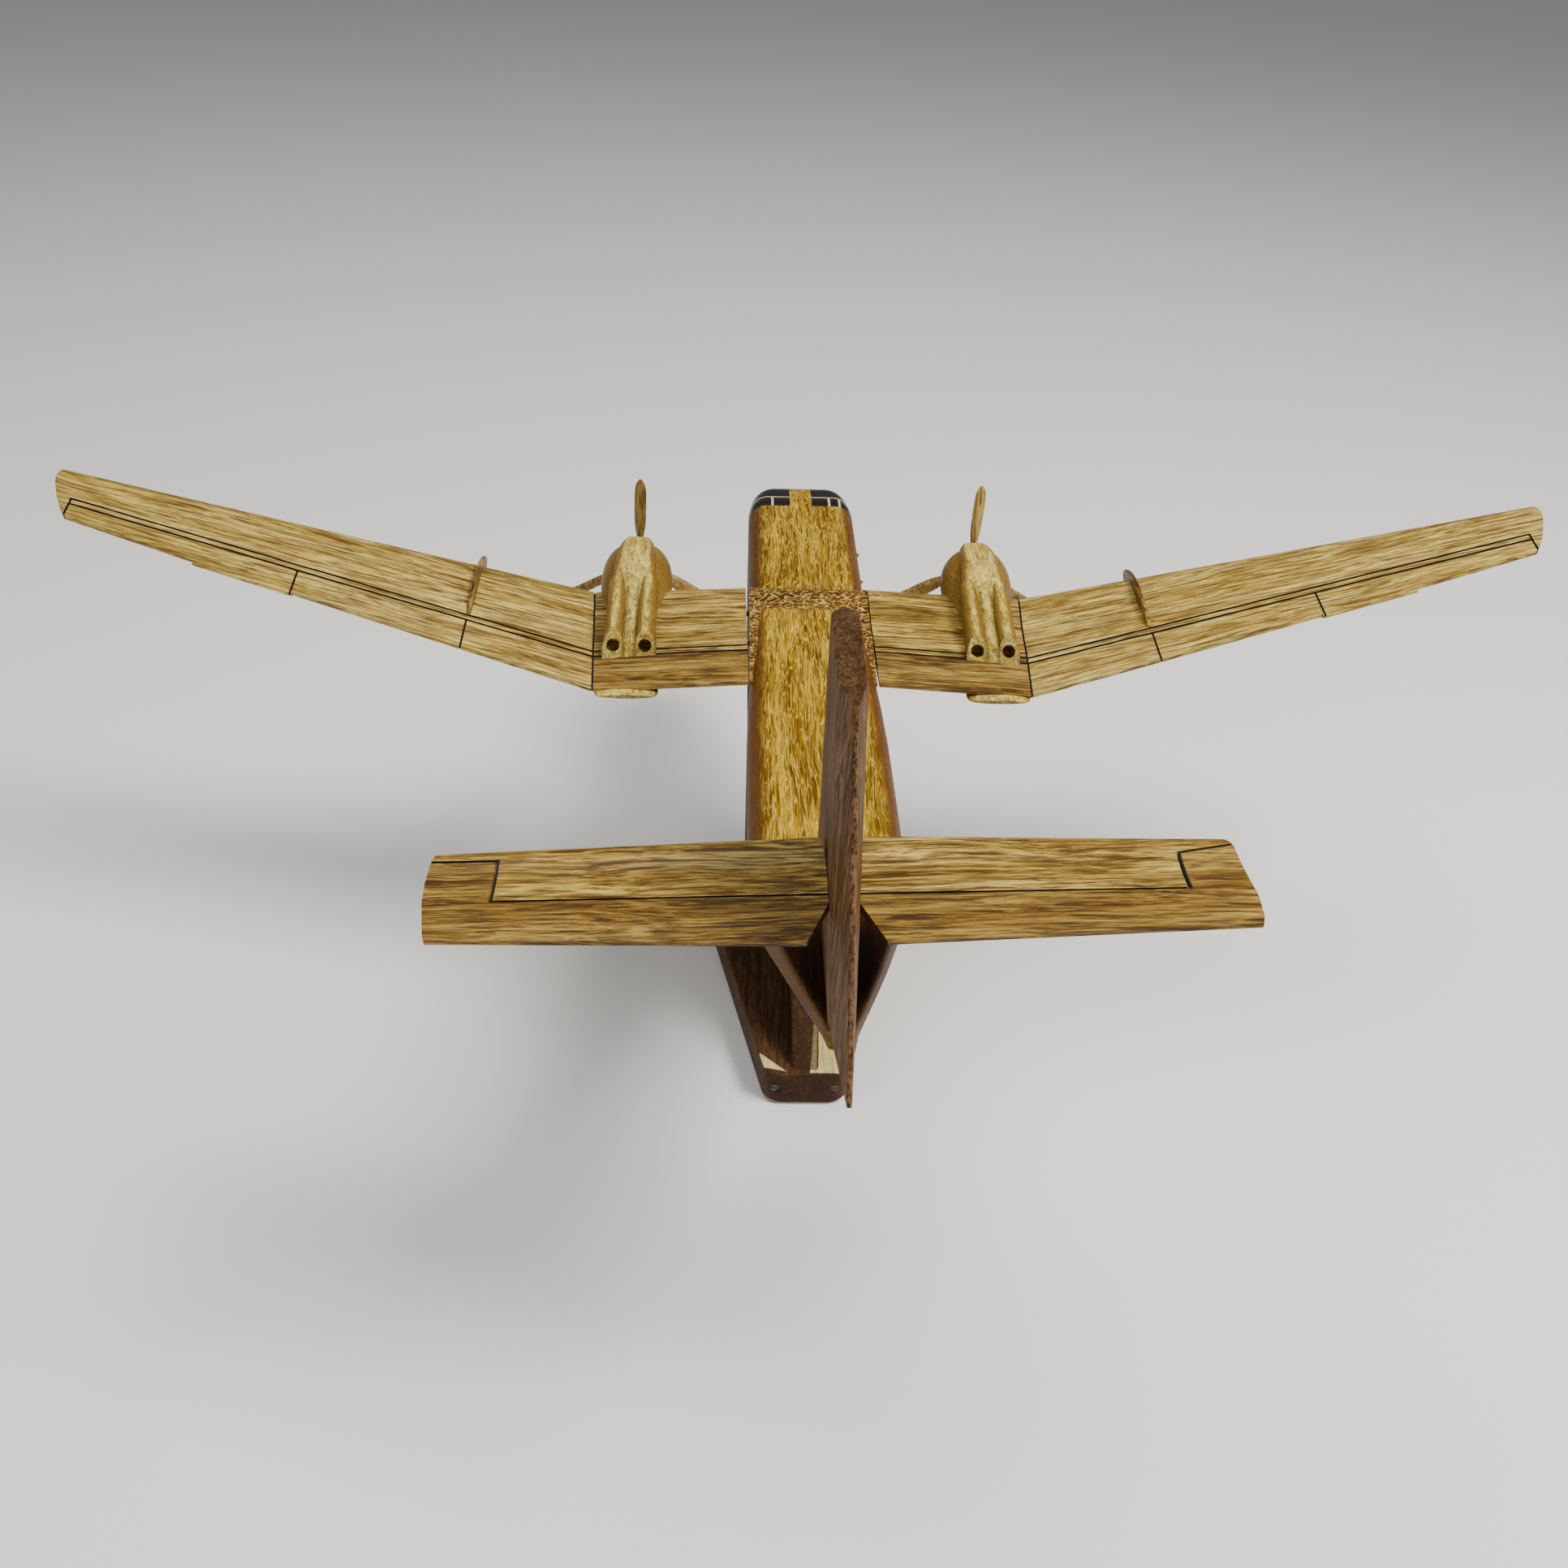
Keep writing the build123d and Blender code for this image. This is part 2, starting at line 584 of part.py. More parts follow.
with BuildPart() as fairing_blank:
    fairing_sections = []
    for y, half_width, bottom, top, radius in FAIRING_STATIONS:
        with BuildSketch(cross_plane(y, deck((top + bottom) / 2))) as ring:
            with Locations((ENGINE_X, 0)):
                RectangleRounded(2 * half_width, top - bottom, radius)
        fairing_sections.append(ring.sketch)
    loft(sections=fairing_sections)

with BuildPart() as tube_blank:
    tube_run = Vector(0, TUBE_START[0] - TUBE_END[0], TUBE_START[1] - TUBE_END[1])
    for side_x in (ENGINE_X - TUBE_OFFSET, ENGINE_X + TUBE_OFFSET):
        with BuildSketch(Plane(origin=(side_x, *TUBE_END), x_dir=(1, 0, 0), z_dir=tube_run)):
            Circle(TUBE_R)
        extrude(amount=tube_run.length)

mouth_normal = (0, -sin(radians(TUBE_CUT_ANGLE)), cos(radians(TUBE_CUT_ANGLE)))
mouth_plane = Plane(origin=(ENGINE_X, *MOUTH_CENTRE), x_dir=(1, 0, 0), z_dir=mouth_normal)

with BuildPart() as mouth_bores:
    with BuildSketch(mouth_plane):
        with Locations((-TUBE_OFFSET, 0), (TUBE_OFFSET, 0)):
            Circle(MOUTH_R)
    extrude(amount=-MOUTH_DEPTH)

with BuildPart() as mouth_tool:
    with BuildSketch(mouth_plane):
        Rectangle(40, 40)
    extrude(amount=30)
    add(mouth_bores.part)

with BuildPart() as shaft:
    with BuildSketch(cross_plane(COWL_FACE_Y - 9.0, PROP_Z)):
        with Locations((ENGINE_X, 0)):
            Circle(SHAFT_R)
    extrude(amount=-(PROP_Y + 3.4 - COWL_FACE_Y + 9.0))
    with BuildSketch(cross_plane(PROP_Y + 3.4, PROP_Z)):
        with Locations((ENGINE_X, 0)):
            Circle(1.7)
    extrude(amount=-1.0)
    fillet(shaft.edges().group_by(Axis.Y)[-1], 0.6)

with BuildPart() as washer:
    with BuildSketch(cross_plane(COWL_FACE_Y, PROP_Z)):
        with Locations((ENGINE_X, 0)):
            Circle(WASHER_R)
            Circle(SHAFT_R, mode=Mode.SUBTRACT)
    extrude(amount=-0.5)



def nacelle_pieces(outer_wing):
    """Nacelle, exhaust fairing and exhaust tubes, scribed to the wing they sit on."""
    with BuildPart() as wing:
        add(inner_wing)
        add(outer_wing)
    with BuildPart() as exhaust_tubes:
        add(tube_blank.part)
        add(wing.part, mode=Mode.SUBTRACT)
        add(mouth_tool.part, mode=Mode.SUBTRACT)
    with BuildPart() as exhaust_fairing:
        add(fairing_blank.part)
        add(wing.part, mode=Mode.SUBTRACT)
        add(tube_blank.part, mode=Mode.SUBTRACT)
        add(mouth_tool.part, mode=Mode.SUBTRACT)
        add(nacelle_blank.part, mode=Mode.SUBTRACT)
    with BuildPart() as nacelle:
        add(nacelle_blank.part)
        with BuildSketch(cross_plane(COWL_FACE_Y, PROP_Z)):
            with Locations((ENGINE_X, 0)):
                Circle(6.2)
                Circle(3.4, mode=Mode.SUBTRACT)
        extrude(amount=1.6, mode=Mode.SUBTRACT)
        add(wing.part, mode=Mode.SUBTRACT)
        add(tube_blank.part, mode=Mode.SUBTRACT)
        add(shaft.part, mode=Mode.SUBTRACT)
    return {"nacelle": nacelle.part, "exhaust_fairing": exhaust_fairing.part,
            "exhaust_tubes": exhaust_tubes.part}


# ---------------------------------------------------------------- propellers
# radius, chord, thickness, twist
BLADE_SECTIONS = [
    (2.2, 1.9, 1.7, 40.0),
    (8.0, 2.2, 1.6, 36.0),
    (15.0, 3.9, 1.2, 26.0),
    (21.0, 3.7, 0.9, 20.0),
    (24.8, 2.4, 0.7, 17.0),
    (PROP_R, 0.8, 0.5, 16.0),
]
BLADE_ANGLES = (0, 120, 240)


def propeller(centre_x, lean):
    """Blades and hub of one propeller; one blade stands nearly upright, turned by lean degrees."""
    spin_axis = Axis((centre_x, PROP_Y, PROP_Z), (0, 1, 0))
    sections = []
    for radius, chord, thickness, twist in BLADE_SECTIONS:
        centre = (centre_x, PROP_Y, PROP_Z + radius)
        turn = (cos(radians(twist)), sin(radians(twist)), 0)
        with BuildSketch(Plane(origin=centre, x_dir=turn, z_dir=(0, 0, 1))) as cut:
            Ellipse(chord / 2, thickness / 2)
        sections.append(cut.sketch)
    with BuildPart() as blade:
        loft(sections=sections)
    with BuildPart() as blades:
        for angle in BLADE_ANGLES:
            add(blade.part.rotate(spin_axis, angle + lean))
    with BuildPart() as hub:
        with BuildSketch(cross_plane(COWL_FACE_Y + 0.7, PROP_Z)):
            with Locations((centre_x, 0)):
                Circle(HUB_R)
        extrude(amount=-(PROP_Y + 3.2 - COWL_FACE_Y - 0.7))
        fillet(hub.edges().group_by(Axis.Y)[-1], 1.6)
        with BuildSketch(cross_plane(0, PROP_Z)):
            with Locations((centre_x, 0)):
                Circle(SHAFT_R + RUNNING_FIT)
        extrude(amount=-TALL, mode=Mode.SUBTRACT)
        add(blades.part, mode=Mode.SUBTRACT)
    return {"propeller_blades": blades.part, "propeller_hub": hub.part}


# ---------------------------------------------------------------- wing fences
FENCE_X = 93.2
FENCE_HALF = 0.55
FENCE_FRONT_Y = 37.2
FENCE_REAR_Y = 4.0


def wing_fence(outer_wing, lift):
    """Thin upright fence on an outer wing, raised by lift with the wing under it."""
    def at(y, height):
        return (y, deck(height + lift))
    with BuildPart() as fence:
        with BuildSketch(side_plane(FENCE_X)):
            with BuildLine():
                Polyline(at(FENCE_REAR_Y, 2.0), at(FENCE_REAR_Y, 4.4), at(10.0, 6.4))
                Spline(at(10.0, 6.4), at(22.0, 8.0), at(FENCE_FRONT_Y - 5.0, 7.4), at(FENCE_FRONT_Y, 4.9),
                       at(FENCE_FRONT_Y - 3.0, 2.0))
                Line(at(FENCE_FRONT_Y - 3.0, 2.0), at(FENCE_REAR_Y, 2.0))
            make_face()
        extrude(amount=FENCE_HALF, both=True)
        add(outer_wing, mode=Mode.SUBTRACT)
        crest = fence.edges().filter_by(lambda e: e.center().Z > deck(5.6) and e.length > 5)
        fillet(crest, FENCE_HALF - 0.1)
    return fence.part


# ---------------------------------------------------------------- tailplane
TAIL_ROOT_X = FIN_HALF + 0.15
TAIL_LEADING = (-124.4, TAILPLANE_Z)
TAIL_TIP_LEADING = (-127.7, TAILPLANE_Z)
TAIL_TRAILING = (-155.9, TAILPLANE_Z)
TAIL_TIP_TRAILING = (-152.8, TAILPLANE_Z)
HINGE_Y = -142.5
ROOT_CUT_Y = -145.2       # the elevators are cut back here to clear the rudder
TAIL_AHEAD = -118.0
# Per side: corner of the elevator horn, outline of the tip from rear to front, notch beside the fin.
TAIL_SIDES = {
    "left": ((65.6, -131.0), [(75.2, -156.0), (75.4, -154.4), (76.4, -151.6), (78.1, -142.0),
                              (78.5, -136.6), (78.2, -131.0), (76.8, -126.0)], 0.85),
    "right": ((64.4, -132.2), [(74.6, -156.0), (75.0, -154.4), (76.1, -151.0), (76.6, -145.5),
                               (76.3, -138.0), (75.7, -130.2), (73.1, -126.0)], 0.0),
}
tail_root = (side_plane(TAIL_ROOT_X - 2.0), TAIL_LEADING, TAIL_TRAILING, 1.5, 1.3)
tail_tip = (side_plane(79.5), TAIL_TIP_LEADING, TAIL_TIP_TRAILING, 1.15, 1.0)
tailplane = wing_solid(tail_root, tail_tip, 0)
tailplane_core = wing_solid(tail_root, tail_tip, 0.4)


def tail_pieces(horn, tip, notch):
    """Stabiliser and elevator of one side, keyed by name."""
    hinge = [(horn[0], HINGE_Y), horn, tip[-2]]
    grooves = groove_tool([[(TAIL_ROOT_X - 1, HINGE_Y)] + hinge], tailplane_core)
    root = [(TAIL_ROOT_X + notch, TAIL_AHEAD), (TAIL_ROOT_X + notch, TAIL_LEADING[0]),
            (TAIL_ROOT_X, -134.0), (TAIL_ROOT_X, HINGE_Y)]
    outlines = {
        "stabiliser": root + hinge + [tip[-1], (tip[-1][0], TAIL_AHEAD)],
        "elevator": [(TAIL_ROOT_X, HINGE_Y), (TAIL_ROOT_X, ROOT_CUT_Y), (8.0, -157.5)] + tip[:-1]
        + hinge[1::-1],
    }
    pieces = {}
    for name, outline in outlines.items():
        with BuildPart() as piece:
            add(cut_piece(tailplane, outline, grooves))
            add(tail_pins.part, mode=Mode.SUBTRACT)
        pieces[name] = piece.part
    return pieces


# ---------------------------------------------------------------- airframe body
def mirrored(piece):
    """Port-side twin of a starboard piece."""
    return mirror(piece, about=Plane.YZ)


with BuildPart() as wing_bores:
    add(dowel_bores)
    add(mirrored(dowel_bores))

with BuildPart() as centre_block:
    add(saddle_block.part)
    add(wing_bores.part, mode=Mode.SUBTRACT)

# Two small pegs stand out of the starboard side of the deck.
PEG_SPOTS = [(68.5, deck(-6.0)), (49.5, deck(-6.0))]
SIDE_PEG_R = 0.5
SIDE_PEG_TIP_X = 17.6

with BuildPart() as side_pegs:
    for side_peg_y, side_peg_z in PEG_SPOTS:
        with BuildSketch(side_plane(SIDE_PEG_TIP_X)):
            with Locations((side_peg_y, side_peg_z)):
                Circle(SIDE_PEG_R)
        extrude(amount=-4.0)

with BuildPart() as front_deck:
    add(fuselage.part)
    add(front_deck_zone.part, mode=Mode.INTERSECT)
    add(saddle_block.part, mode=Mode.SUBTRACT)
    add(side_pegs.part, mode=Mode.SUBTRACT)

with BuildPart() as aft_deck:
    add(fuselage.part)
    add(aft_deck_zone.part, mode=Mode.INTERSECT)
    add(saddle_block.part, mode=Mode.SUBTRACT)
    add(fin.part, mode=Mode.SUBTRACT)

with BuildPart() as hull:
    add(fuselage.part)
    add(front_deck_zone.part, mode=Mode.SUBTRACT)
    add(aft_deck_zone.part, mode=Mode.SUBTRACT)
    add(cockpit_zone.part, mode=Mode.SUBTRACT)
    add(saddle_top_zone.part, mode=Mode.SUBTRACT)
    add(saddle_block.part, mode=Mode.SUBTRACT)
    with Locations((0, 0, BELLY_Z)):
        Cylinder(SOCKET_R, PEG_RISE + 1.0, align=(Align.CENTER, Align.CENTER, Align.MIN),
                 mode=Mode.SUBTRACT)

# ---------------------------------------------------------------- write every piece
body_pieces = {
    "hull": hull.part, "front_deck": front_deck.part, "aft_deck": aft_deck.part,
    "wing_centre_block": centre_block.part, "cockpit_panes": cockpit_panes.part,
    "window_frames": window_frames.part, "cockpit_centre_strip": centre_strip.part,
    "fin": fin.part, "rudder": leaned(rudder.part), "tail_pins": rolled(tail_pins.part),
    "side_pegs": side_pegs.part, "peg_socket": peg_socket.part,
    "stand_base": stand_base.part, "stand_arm": stand_arm.part, "stand_peg": peg.part,
    "base_screws": base_screws.part, "felt_pad": felt_pad.part,
}
for name, piece in body_pieces.items():
    save(piece, name)

# Carved by hand, the two wings differ a little. Per side: root gap at the leading and trailing edge,
# how much higher the tip sits, and how far the upright propeller blade is turned.
WING_SIDES = {"left": ((1.1, 0.3), 2.8, -2.0), "right": ((0.3, 0.5), 0.4, 2.0)}

for side, (root_gap, tip_lift, blade_lean) in WING_SIDES.items():
    outer_wing = wing_solid(CRANK, tip_station(tip_lift), 0)
    outer_core = wing_solid(CRANK, tip_station(tip_lift), GROOVE_DEPTH)
    wing = outer_pieces(outer_wing, outer_core)
    wing.update(inner_pieces(*root_gap))
    with BuildPart() as panel_with_bores:
        add(wing["inner_panel"])
        add(dowels, mode=Mode.SUBTRACT)
        add(shaft.part, mode=Mode.SUBTRACT)
        add(mouth_bores.part, mode=Mode.SUBTRACT)
    with BuildPart() as strip_with_bores:
        add(wing["inner_slot_strip"])
        add(mouth_bores.part, mode=Mode.SUBTRACT)
    wing["inner_panel"] = panel_with_bores.part
    wing["inner_slot_strip"] = strip_with_bores.part
    fence_lift = tip_lift * (FENCE_X - CRANK_X) / (TIP_X - CRANK_X)
    wing.update({"wing_dowels": dowels, "wing_fence": wing_fence(outer_wing, fence_lift),
                 "propeller_shaft": shaft.part, "shaft_washer": washer.part})
    wing.update(nacelle_pieces(outer_wing))
    wing.update(propeller(ENGINE_X, blade_lean))
    for name, piece in wing.items():
        save(mirrored(piece) if side == "left" else piece, f"{side}_{name}")
    for name, piece in tail_pieces(*TAIL_SIDES[side]).items():
        save(rolled(mirrored(piece) if side == "left" else piece), f"{side}_{name}")
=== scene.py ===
import math

import bpy
from mathutils import Matrix, Vector

# Looks of the lacquered wooden aircraft model. Metres, in the frame of the CAD model:
# X to the starboard wing tip, Y to the nose, Z up, origin under the stand.

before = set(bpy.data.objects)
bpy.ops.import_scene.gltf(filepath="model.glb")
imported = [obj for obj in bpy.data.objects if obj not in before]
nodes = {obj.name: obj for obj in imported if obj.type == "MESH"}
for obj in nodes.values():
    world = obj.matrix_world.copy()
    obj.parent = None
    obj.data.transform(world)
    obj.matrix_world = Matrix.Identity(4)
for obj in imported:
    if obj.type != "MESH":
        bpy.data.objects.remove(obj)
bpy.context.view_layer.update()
MM = 0.001
SIDES = ("left", "right")


# ---------------------------------------------------------------- camera, light and floor
CAMERA_PLACE = (-0.0214, -0.36343, 0.30638)
CAMERA_YAW = 0.042007    # radians, to the right of the nose
CAMERA_PITCH = 0.587436  # radians, below level
CAMERA_ROLL = 0.036215   # radians
SENSOR = 36.0            # millimetres
LENS = 34.63             # millimetres
SUBJECT = (0.0, -0.02, 0.11)
FLOOR_HALF = 3.0
FLOOR_COLOUR = (0.86, 0.86, 0.85, 1)
SKY_COLOUR = (1.0, 0.99, 0.97, 1)
SKY_STRENGTH = 0.22
# name, place, size, power in watts, colour
SOFTBOXES = [
    ("key", (0.55, -0.30, 0.95), 0.40, 15.0, (1.0, 0.97, 0.92)),
    ("overhead", (-0.15, 0.10, 1.20), 0.90, 7.0, (1.0, 0.99, 0.97)),
    ("fill", (-0.85, -0.55, 0.45), 0.60, 3.0, (0.98, 0.98, 1.0)),
]


def aim_camera():
    """The camera behind and above the tail, looking forward and down."""
    flat = math.cos(CAMERA_PITCH)
    forward = Vector((math.sin(CAMERA_YAW) * flat, math.cos(CAMERA_YAW) * flat, -math.sin(CAMERA_PITCH)))
    level = Vector((math.cos(CAMERA_YAW), -math.sin(CAMERA_YAW), 0.0))
    upright = level.cross(forward)
    right = math.cos(CAMERA_ROLL) * level + math.sin(CAMERA_ROLL) * upright
    up = math.cos(CAMERA_ROLL) * upright - math.sin(CAMERA_ROLL) * level
    data = bpy.data.cameras.new("camera")
    data.sensor_width = SENSOR
    data.lens = LENS
    data.clip_start = 0.01
    camera = bpy.data.objects.new("camera", data)
    turn = Matrix((right, up, -forward)).transposed().to_4x4()
    camera.matrix_world = Matrix.Translation(CAMERA_PLACE) @ turn
    bpy.context.scene.collection.objects.link(camera)
    bpy.context.scene.camera = camera


def soft_light(name, place, size, power, colour):
    """A square softbox at place, turned towards the model."""
    data = bpy.data.lights.new(name, "AREA")
    data.shape = "SQUARE"
    data.size = size
    data.energy = power
    data.color = colour
    light = bpy.data.objects.new(name, data)
    aim = Vector(SUBJECT) - Vector(place)
    light.matrix_world = Matrix.Translation(place) @ aim.to_track_quat("-Z", "Y").to_matrix().to_4x4()
    bpy.context.scene.collection.objects.link(light)


def lay_floor():
    """A plain pale floor."""
    corners = [(-FLOOR_HALF, -FLOOR_HALF, 0), (FLOOR_HALF, -FLOOR_HALF, 0),
               (FLOOR_HALF, FLOOR_HALF, 0), (-FLOOR_HALF, FLOOR_HALF, 0)]
    mesh = bpy.data.meshes.new("floor")
    mesh.from_pydata(corners, [], [(0, 1, 2, 3)])
    floor = bpy.data.objects.new("floor", mesh)
    bpy.context.scene.collection.objects.link(floor)
    pale = bpy.data.materials.new("floor_pale")
    pale.use_nodes = True
    shader = pale.node_tree.nodes["Principled BSDF"]
    shader.inputs["Base Color"].default_value = FLOOR_COLOUR
    shader.inputs["Roughness"].default_value = 0.9
    mesh.materials.append(pale)


def light_studio():
    """Even pale surroundings and soft light, strongest from the right."""
    world = bpy.data.worlds.new("studio")
    world.use_nodes = True
    background = world.node_tree.nodes["Background"]
    background.inputs["Color"].default_value = SKY_COLOUR
    background.inputs["Strength"].default_value = SKY_STRENGTH
    bpy.context.scene.world = world
    for softbox in SOFTBOXES:
        soft_light(*softbox)


# ---------------------------------------------------------------- node helpers
SURFACE_INPUTS = {
    "metallic": "Metallic",
    "specular": "Specular IOR Level",
    "coat": "Coat Weight",
    "coat_roughness": "Coat Roughness",
    "sheen": "Sheen Weight",
}


class Shader:
    """A material under construction: small helpers that add and join nodes."""

    def __init__(self, name):
        self.material = bpy.data.materials.new(name)
        self.material.use_nodes = True
        self.tree = self.material.node_tree
        self.surface = self.tree.nodes["Principled BSDF"]

    def join(self, value, socket):
        """Link a socket, or set a plain value."""
        if isinstance(value, bpy.types.NodeSocket):
            self.tree.links.new(value, socket)
        else:
            socket.default_value = value

    def math(self, operation, first, second=0.0, third=0.0, clamp=False):
        """One number from up to three."""
        node = self.tree.nodes.new("ShaderNodeMath")
        node.operation = operation
        node.use_clamp = clamp
        for value, socket in zip((first, second, third), node.inputs):
            self.join(value, socket)
        return node.outputs[0]

    def vector(self, operation, first, second):
        """A vector, or the number of a dot product or distance."""
        node = self.tree.nodes.new("ShaderNodeVectorMath")
        node.operation = operation
        self.join(first, node.inputs[0])
        self.join(second, node.inputs["Scale" if operation == "SCALE" else 1])
        scalar = operation in ("DOT_PRODUCT", "DISTANCE")
        return node.outputs["Value" if scalar else "Vector"]

    def parts(self, vector):
        """The x, y and z of a vector."""
        node = self.tree.nodes.new("ShaderNodeSeparateXYZ")
        self.join(vector, node.inputs[0])
        return node.outputs

    def point(self, x, y, z):
        """The vector of x, y and z."""
        node = self.tree.nodes.new("ShaderNodeCombineXYZ")
        for value, socket in zip((x, y, z), node.inputs):
            self.join(value, socket)
        return node.outputs[0]

    def place(self):
        """Position on the piece, in millimetres."""
        node = self.tree.nodes.new("ShaderNodeTexCoord")
        return self.vector("SCALE", node.outputs["Object"], 1 / MM)

    def facing(self):
        """Outward direction of the surface."""
        return self.tree.nodes.new("ShaderNodeTexCoord").outputs["Normal"]

    def noise(self, vector, detail=2.0, rough=0.5, colour=False):
        """Smooth noise about 0.5, or three of them as a colour."""
        node = self.tree.nodes.new("ShaderNodeTexNoise")
        self.join(vector, node.inputs["Vector"])
        node.inputs["Scale"].default_value = 1.0
        node.inputs["Detail"].default_value = detail
        node.inputs["Roughness"].default_value = rough
        return node.outputs["Color" if colour else "Fac"]

    def ramp(self, value, low, high):
        """0 below low, 1 above high, smooth between."""
        node = self.tree.nodes.new("ShaderNodeMapRange")
        node.interpolation_type = "SMOOTHSTEP"
        self.join(value, node.inputs["Value"])
        node.inputs["From Min"].default_value = low
        node.inputs["From Max"].default_value = high
        return node.outputs["Result"]

    def blend(self, share, first, second, kind="MIX"):
        """Colour first, with a share of second over it."""
        node = self.tree.nodes.new("ShaderNodeMix")
        node.data_type = "RGBA"
        node.blend_type = kind
        self.join(share, node.inputs["Factor"])
        for name, value in (("A", first), ("B", second)):
            socket = [s for s in node.inputs if s.name == name and s.type == "RGBA"][0]
            self.join(value, socket)
        return [s for s in node.outputs if s.type == "RGBA"][0]

    def bump(self, height, distance, strength):
        """Raise the surface by distance in metres for each 1 of height."""
        node = self.tree.nodes.new("ShaderNodeBump")
        node.inputs["Strength"].default_value = strength
        node.inputs["Distance"].default_value = distance
        self.join(height, node.inputs["Height"])
        self.join(node.outputs[0], self.surface.inputs["Normal"])

    def set(self, **values):
        """Set constant inputs of the surface, named as in SURFACE_INPUTS."""
        for name, value in values.items():
            title = SURFACE_INPUTS[name]
            self.surface.inputs[title].default_value = value

    def finish(self, colour, roughness):
        """Join colour and roughness, and hand over the material."""
        self.join(colour, self.surface.inputs["Base Color"])
        self.join(roughness, self.surface.inputs["Roughness"])
        return self.material


def rgb(red, green, blue):
    return (red, green, blue, 1.0)


# ---------------------------------------------------------------- wood
AXES = {"X": (1, 0, 0), "Y": (0, 1, 0), "Z": (0, 0, 1)}
INK = rgb(0.006, 0.005, 0.005)
# Pale gold of the light figure threads, partly painted sheen.
FIGURE_AND_SHEEN_GOLD = rgb(0.88, 0.66, 0.16)
# Size of a cell along and across the grain, in millimetres.
DRIFT_CELL = (32.0, 9.0)
BROAD_CELL = (60.0, 4.5)
RING_CELL = (40.0, 3.0)
STREAK_CELL = (26.0, 0.85)
PORE_CELL = (3.4, 0.20)
DASH_CELL = (6.5, 0.42)
CLOUD_CELL = (12.0, 9.0)
GLOSS_CELL = 16.0
DRIFT = 3.6        # how far the grain wanders, in millimetres
RING_DRIFT = 3.2   # how many rings a growth ring wanders
SEED_STEP = (37.0, 53.0, 71.0)
LACQUER_ROUGHNESS = 0.14


def stretched(shader, place, grain, along, across):
    """Texture space with cells that are long along the grain and narrow across it, in millimetres."""
    scale = [1 / along if axis else 1 / across for axis in AXES[grain]]
    return shader.vector("MULTIPLY", place, scale)


def squiggles(shader, place, grain, along, across, width):
    """Thin wandering light threads, like the rays of a figured cut, partly painted sheen."""
    wander = shader.noise(stretched(shader, place, grain, along, across), detail=1.0)
    return shader.ramp(shader.math("ABSOLUTE", shader.math("SUBTRACT", wander, 0.5)), width, width * 0.35)


def grain_places(shader, place, grain, rise, seed):
    """Texture places of one piece: shifted by its seed, and shifted with wandering grain."""
    outboard = shader.math("ABSOLUTE", shader.parts(place)[0])
    level = shader.vector("SUBTRACT", place, shader.vector("SCALE", (0.0, *rise), outboard))
    shifted = shader.vector("ADD", level, tuple(seed * step for step in SEED_STEP))
    drift = shader.noise(stretched(shader, shifted, grain, *DRIFT_CELL), detail=1.0, colour=True)
    drift = shader.vector("SCALE", shader.vector("SUBTRACT", drift, (0.5, 0.5, 0.5)), DRIFT)
    return shifted, shader.vector("ADD", shifted, drift)


def growth_rings(shader, warped, grain, ring_tilt, ring_gap):
    """0 to 1 across each growth ring, with a soft start and a sharp end."""
    ring_place = shader.vector("DOT_PRODUCT", warped, tuple(part / ring_gap for part in ring_tilt))
    wander = shader.noise(stretched(shader, warped, grain, *RING_CELL), detail=2.0)
    ring = shader.math("FRACT", shader.math("MULTIPLY_ADD", wander, RING_DRIFT, ring_place))
    return shader.math("MULTIPLY", shader.ramp(ring, 0.15, 0.85), shader.ramp(ring, 1.0, 0.90))


def grain_masks(shader, warped, grain):
    """Masks of the dark and light streaks, the dark and light dashes and the pores."""
    streak = shader.noise(stretched(shader, warped, grain, *STREAK_CELL), detail=4.0, rough=0.6)
    dash = shader.noise(stretched(shader, warped, grain, *DASH_CELL), detail=1.5)
    pore = shader.noise(stretched(shader, warped, grain, *PORE_CELL), detail=1.0)
    return {
        "dark_streak": shader.ramp(streak, 0.46, 0.62),
        "light_streak": shader.ramp(streak, 0.47, 0.34),
        "dark_dash": shader.ramp(dash, 0.53, 0.64),
        "light_dash": shader.ramp(dash, 0.45, 0.33),
        "pore": shader.ramp(pore, 0.53, 0.66),
    }


def grain_colour(shader, warped, grain, tones, ring, masks, streaks, dashes):
    """The tones of the wood laid over each other, broad bands first and pores last."""
    dark, middle, light = tones
    broad = shader.noise(stretched(shader, warped, grain, *BROAD_CELL), detail=3.0)
    colour = shader.blend(shader.ramp(broad, 0.36, 0.66), middle, light)
    layers = [(ring, 0.5, dark), (masks["dark_streak"], streaks, dark),
              (masks["light_streak"], streaks * 0.6, light), (masks["light_dash"], dashes * 0.7, light),
              (masks["dark_dash"], dashes, dark), (masks["pore"], 0.5, dark)]
    for mask, share, tone in layers:
        colour = shader.blend(shader.math("MULTIPLY", mask, share), colour, tone)
    return colour


def tinted_faces(shader, colour, facing, grain, dark, edge, flank_shade):
    """Darker end grain, a tint on the faces that look forward (edge), and painted shade on the faces that
    look sideways (flank).
    """
    across, forward, _ = shader.parts(facing)
    end_grain = shader.math("ABSOLUTE", shader.vector("DOT_PRODUCT", facing, AXES[grain]))
    end_grain = shader.math("MULTIPLY", shader.ramp(end_grain, 0.55, 0.95), 0.55)
    colour = shader.blend(end_grain, colour, dark)
    if edge:
        leading = shader.math("MULTIPLY", shader.ramp(forward, 0.35, 0.9), 0.85)
        colour = shader.blend(leading, colour, edge)
    # Painted shade on the faces that look sideways.
    if flank_shade:
        sideways = shader.ramp(shader.math("ABSOLUTE", across), 0.12, 0.6)
        colour = shader.blend(shader.math("MULTIPLY", sideways, 0.9), colour, flank_shade)
    return colour


